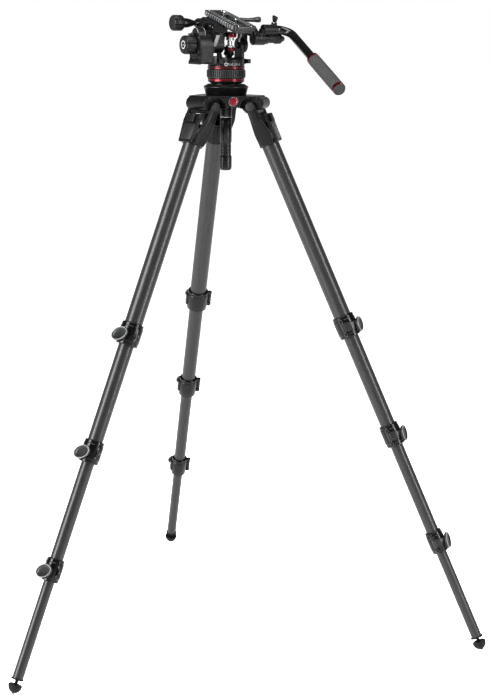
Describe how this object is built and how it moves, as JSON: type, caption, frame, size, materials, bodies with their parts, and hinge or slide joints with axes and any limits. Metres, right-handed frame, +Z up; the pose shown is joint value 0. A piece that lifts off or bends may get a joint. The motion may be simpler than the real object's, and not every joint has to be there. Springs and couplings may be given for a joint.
{
  "type": "tripod with fluid head",
  "caption": "Three-legged telescopic tripod with lever clamps, a levelling bowl and a fluid head with sliding camera plate and pan bar.",
  "frame": {"origin": "on the ground under the centre axis, where the three feet stand", "axes": "+Z up along the centre axis; +Y is where the head points when it is not panned; -X is the operator's left, with the counterbalance knob"},
  "size_m": [0.9873, 1.0077, 1.3472],
  "materials": {
    "cast_black": "fine textured satin paint over cast aluminium",
    "bowl_black": "satin black anodised",
    "clamp_black": "moulded, slightly glossy",
    "moulded_black": "soft-touch moulding",
    "lever_grey": "dark grey moulding with a lighter rim",
    "carbon": "clear-coated carbon fibre tube with fine lengthwise grain",
    "rubber_foot": "matt black rubber",
    "ribbed_rubber": "ribbed grey rubber",
    "red_anodised": "red anodised",
    "steel": "bright turned steel",
    "plate_black": "dark grey hard anodised",
    "bar_black": "satin black tube",
    "foam": "grey closed-cell foam"
  },
  "bodies": {
    "base": {"spider": "cast_black", "bowl": "bowl_black"},
    "leg_front": {"leg_front_yoke": "cast_black", "leg_front_tube_1": "carbon", "leg_front_clamp_1": "clamp_black"},
    "leg_front_selector": {"leg_front_selector": "cast_black"},
    "leg_front_section_2": {"leg_front_tube_2": "carbon", "leg_front_clamp_2": "clamp_black"},
    "leg_front_section_3": {"leg_front_tube_3": "carbon", "leg_front_clamp_3": "clamp_black"},
    "leg_front_section_4": {"leg_front_tube_4": "carbon", "leg_front_foot": "rubber_foot"},
    "leg_front_lever_1": {"leg_front_lever_1": "lever_grey"},
    "leg_front_lever_2": {"leg_front_lever_2": "lever_grey"},
    "leg_front_lever_3": {"leg_front_lever_3": "lever_grey"},
    "leg_left": {"leg_left_yoke": "cast_black", "leg_left_tube_1": "carbon", "leg_left_clamp_1": "clamp_black"},
    "leg_left_selector": {"leg_left_selector": "cast_black"},
    "leg_left_section_2": {"leg_left_tube_2": "carbon", "leg_left_clamp_2": "clamp_black"},
    "leg_left_section_3": {"leg_left_tube_3": "carbon", "leg_left_clamp_3": "clamp_black"},
    "leg_left_section_4": {"leg_left_tube_4": "carbon", "leg_left_foot": "rubber_foot"},
    "leg_left_lever_1": {"leg_left_lever_1": "lever_grey"},
    "leg_left_lever_2": {"leg_left_lever_2": "lever_grey"},
    "leg_left_lever_3": {"leg_left_lever_3": "lever_grey"},
    "leg_right": {"leg_right_yoke": "cast_black", "leg_right_tube_1": "carbon", "leg_right_clamp_1": "clamp_black"},
    "leg_right_selector": {"leg_right_selector": "cast_black"},
    "leg_right_section_2": {"leg_right_tube_2": "carbon", "leg_right_clamp_2": "clamp_black"},
    "leg_right_section_3": {"leg_right_tube_3": "carbon", "leg_right_clamp_3": "clamp_black"},
    "leg_right_section_4": {"leg_right_tube_4": "carbon", "leg_right_foot": "rubber_foot"},
    "leg_right_lever_1": {"leg_right_lever_1": "lever_grey"},
    "leg_right_lever_2": {"leg_right_lever_2": "lever_grey"},
    "leg_right_lever_3": {"leg_right_lever_3": "lever_grey"},
    "level_cup": {"bowl_clamp_cup": "steel"},
    "head": {"head_base": "bowl_black"},
    "bowl_handle": {"bowl_clamp_handle": "moulded_black"},
    "drag_ring": {"pan_drag_ring": "ribbed_rubber"},
    "pan": {"pan_body": "cast_black"},
    "pan_lock": {"pan_lock_lever": "lever_grey"},
    "counterbalance": {"counterbalance_knob": "moulded_black"},
    "piston_lower": {"piston_cylinder": "moulded_black"},
    "piston_upper": {"piston_rod": "red_anodised"},
    "tilt": {"tilt_platform": "cast_black"},
    "plate": {"slide_plate": "plate_black", "camera_screws": "steel"},
    "plate_lock": {"plate_lock_knob": "moulded_black"},
    "plate_release": {"plate_release_lever": "lever_grey"},
    "bar_holder": {"pan_bar_clamp": "cast_black"},
    "rosette": {"rosette_knob": "ribbed_rubber"},
    "bar_screw": {"pan_bar_screw": "moulded_black"},
    "bar": {"pan_bar": "bar_black", "grip": "foam"}
  },
  "joints": [
    {"name": "leg_front_spread", "type": "hinge", "parent": "base", "child": "leg_front", "pos_m": [0.01839, 0.05921, 1.151], "axis": [0.955, -0.2965, 0], "range_deg": [-22, 40]},
    {"name": "leg_front_selector_slide", "type": "slide", "parent": "leg_front", "child": "leg_front_selector", "axis": [0.1228, 0.3954, -0.9103], "range_m": [0, 0.004], "stiffness_N_per_m": 400},
    {"name": "leg_front_slide_2", "type": "slide", "parent": "leg_front", "child": "leg_front_section_2", "axis": [0.1228, 0.3954, -0.9103], "range_m": [-0.2, 0.12]},
    {"name": "leg_front_lever_1_hinge", "type": "hinge", "parent": "leg_front", "child": "leg_front_lever_1", "pos_m": [0.10678, 0.24878, 0.69537], "axis": [0.1228, 0.3954, -0.9103], "range_deg": [0, 100]},
    {"name": "leg_front_slide_3", "type": "slide", "parent": "leg_front_section_2", "child": "leg_front_section_3", "axis": [0.1228, 0.3954, -0.9103], "range_m": [-0.2, 0.12]},
    {"name": "leg_front_lever_2_hinge", "type": "hinge", "parent": "leg_front_section_2", "child": "leg_front_lever_2", "pos_m": [0.13538, 0.34933, 0.46563], "axis": [0.1228, 0.3954, -0.9103], "range_deg": [0, 100]},
    {"name": "leg_front_slide_4", "type": "slide", "parent": "leg_front_section_3", "child": "leg_front_section_4", "axis": [0.1228, 0.3954, -0.9103], "range_m": [-0.2, 0.12]},
    {"name": "leg_front_lever_3_hinge", "type": "hinge", "parent": "leg_front_section_3", "child": "leg_front_lever_3", "pos_m": [0.16396, 0.44945, 0.23679], "axis": [0.1228, 0.3954, -0.9103], "range_deg": [0, 100]},
    {"name": "leg_left_spread", "type": "hinge", "parent": "base", "child": "leg_left", "pos_m": [-0.06047, -0.01368, 1.151], "axis": [-0.2207, 0.9753, 0], "range_deg": [-22, 40]},
    {"name": "leg_left_selector_slide", "type": "slide", "parent": "leg_left", "child": "leg_left_selector", "axis": [-0.4038, -0.0914, -0.9103], "range_m": [0, 0.004], "stiffness_N_per_m": 400},
    {"name": "leg_left_slide_2", "type": "slide", "parent": "leg_left", "child": "leg_left_section_2", "axis": [-0.4038, -0.0914, -0.9103], "range_m": [-0.2, 0.12]},
    {"name": "leg_left_lever_1_hinge", "type": "hinge", "parent": "leg_left", "child": "leg_left_lever_1", "pos_m": [-0.26884, -0.03192, 0.69537], "axis": [-0.4038, -0.0914, -0.9103], "range_deg": [0, 100]},
    {"name": "leg_left_slide_3", "type": "slide", "parent": "leg_left_section_2", "child": "leg_left_section_3", "axis": [-0.4038, -0.0914, -0.9103], "range_m": [-0.2, 0.12]},
    {"name": "leg_left_lever_2_hinge", "type": "hinge", "parent": "leg_left_section_2", "child": "leg_left_lever_2", "pos_m": [-0.37022, -0.05742, 0.46563], "axis": [-0.4038, -0.0914, -0.9103], "range_deg": [0, 100]},
    {"name": "leg_left_slide_4", "type": "slide", "parent": "leg_left_section_3", "child": "leg_left_section_4", "axis": [-0.4038, -0.0914, -0.9103], "range_m": [-0.2, 0.12]},
    {"name": "leg_left_lever_3_hinge", "type": "hinge", "parent": "leg_left_section_3", "child": "leg_left_lever_3", "pos_m": [-0.47122, -0.08274, 0.23679], "axis": [-0.4038, -0.0914, -0.9103], "range_deg": [0, 100]},
    {"name": "leg_right_spread", "type": "hinge", "parent": "base", "child": "leg_right", "pos_m": [0.04209, -0.04553, 1.151], "axis": [-0.7343, -0.6788, 0], "range_deg": [-22, 40]},
    {"name": "leg_right_selector_slide", "type": "slide", "parent": "leg_right", "child": "leg_right_selector", "axis": [0.2811, -0.3041, -0.9103], "range_m": [0, 0.004], "stiffness_N_per_m": 400},
    {"name": "leg_right_slide_2", "type": "slide", "parent": "leg_right", "child": "leg_right_section_2", "axis": [0.2811, -0.3041, -0.9103], "range_m": [-0.2, 0.12]},
    {"name": "leg_right_lever_1_hinge", "type": "hinge", "parent": "leg_right", "child": "leg_right_lever_1", "pos_m": [0.16206, -0.21686, 0.69537], "axis": [0.2811, -0.3041, -0.9103], "range_deg": [0, 100]},
    {"name": "leg_right_slide_3", "type": "slide", "parent": "leg_right_section_2", "child": "leg_right_section_3", "axis": [0.2811, -0.3041, -0.9103], "range_m": [-0.2, 0.12]},
    {"name": "leg_right_lever_2_hinge", "type": "hinge", "parent": "leg_right_section_2", "child": "leg_right_lever_2", "pos_m": [0.23484, -0.29191, 0.46563], "axis": [0.2811, -0.3041, -0.9103], "range_deg": [0, 100]},
    {"name": "leg_right_slide_4", "type": "slide", "parent": "leg_right_section_3", "child": "leg_right_section_4", "axis": [0.2811, -0.3041, -0.9103], "range_m": [-0.2, 0.12]},
    {"name": "leg_right_lever_3_hinge", "type": "hinge", "parent": "leg_right_section_3", "child": "leg_right_lever_3", "pos_m": [0.30726, -0.36672, 0.23679], "axis": [0.2811, -0.3041, -0.9103], "range_deg": [0, 100]},
    {"name": "level_roll", "type": "hinge", "parent": "base", "child": "level_cup", "pos_m": [0, 0, 1.196], "axis": [0, 1, 0], "range_deg": [-4.5, 4.5]},
    {"name": "level_pitch", "type": "hinge", "parent": "level_cup", "child": "head", "pos_m": [0, 0, 1.196], "axis": [1, 0, 0], "range_deg": [-4.5, 4.5]},
    {"name": "bowl_handle_turn", "type": "hinge", "parent": "head", "child": "bowl_handle", "pos_m": [0, 0, 1.08], "axis": [0, 0, 1], "range_deg": [0, 360]},
    {"name": "drag_ring_turn", "type": "hinge", "parent": "head", "child": "drag_ring", "pos_m": [0, 0, 1.218], "axis": [0, 0, 1], "range_deg": [0, 120]},
    {"name": "pan_turn", "type": "hinge", "parent": "head", "child": "pan", "pos_m": [0, 0, 1.24], "axis": [0, 0, 1], "continuous": true},
    {"name": "pan_lock_turn", "type": "hinge", "parent": "pan", "child": "pan_lock", "pos_m": [0.0432, 0.002, 1.242], "axis": [0, 0, 1], "range_deg": [-20, 15]},
    {"name": "counterbalance_turn", "type": "hinge", "parent": "pan", "child": "counterbalance", "pos_m": [-0.09, 0, 1.276], "axis": [-1, 0, 0], "continuous": true},
    {"name": "tilt", "type": "hinge", "parent": "pan", "child": "tilt", "pos_m": [0, 0, 1.276], "axis": [-1, 0, 0], "range_deg": [-45, 75]},
    {"name": "piston_lower_rock", "type": "hinge", "parent": "pan", "child": "piston_lower", "pos_m": [0.006, 0, 1.254], "axis": [-1, 0, 0], "range_deg": [-22.5, 37.5]},
    {"name": "piston_upper_rock", "type": "hinge", "parent": "tilt", "child": "piston_upper", "pos_m": [0.006, -0.00569, 1.29725], "axis": [-1, 0, 0], "range_deg": [-37.5, 22.5]},
    {"name": "plate_slide", "type": "slide", "parent": "tilt", "child": "plate", "axis": [0, 0.9659, 0.2588], "range_m": [-0.025, 0.025]},
    {"name": "plate_lock_turn", "type": "hinge", "parent": "tilt", "child": "plate_lock", "pos_m": [-0.09, 0.01624, 1.31969], "axis": [-1, 0, 0], "range_deg": [0, 180]},
    {"name": "plate_release_turn", "type": "hinge", "parent": "tilt", "child": "plate_release", "pos_m": [0.034, -0.00032, 1.32354], "axis": [0, 0.2588, -0.9659], "range_deg": [-60, 8]},
    {"name": "bar_angle", "type": "hinge", "parent": "tilt", "child": "bar_holder", "pos_m": [0.05, -0.05528, 1.28914], "axis": [-1, 0, 0], "range_deg": [-15, 80]},
    {"name": "rosette_turn", "type": "hinge", "parent": "bar_holder", "child": "rosette", "pos_m": [0.08, -0.05528, 1.28914], "axis": [1, 0, 0], "continuous": true},
    {"name": "bar_screw_turn", "type": "hinge", "parent": "bar_holder", "child": "bar_screw", "pos_m": [0.076, -0.06576, 1.3205], "axis": [0, -0.2588, 0.9659], "continuous": true},
    {"name": "bar_slide", "type": "slide", "parent": "bar_holder", "child": "bar", "axis": [1, 0, 0], "range_m": [0, 0.012]}
  ],
  "couplings": [
    {"joint": "piston_lower_rock", "follows": "tilt", "ratio": 0.5},
    {"joint": "piston_upper_rock", "follows": "tilt", "ratio": -0.5}
  ]
}
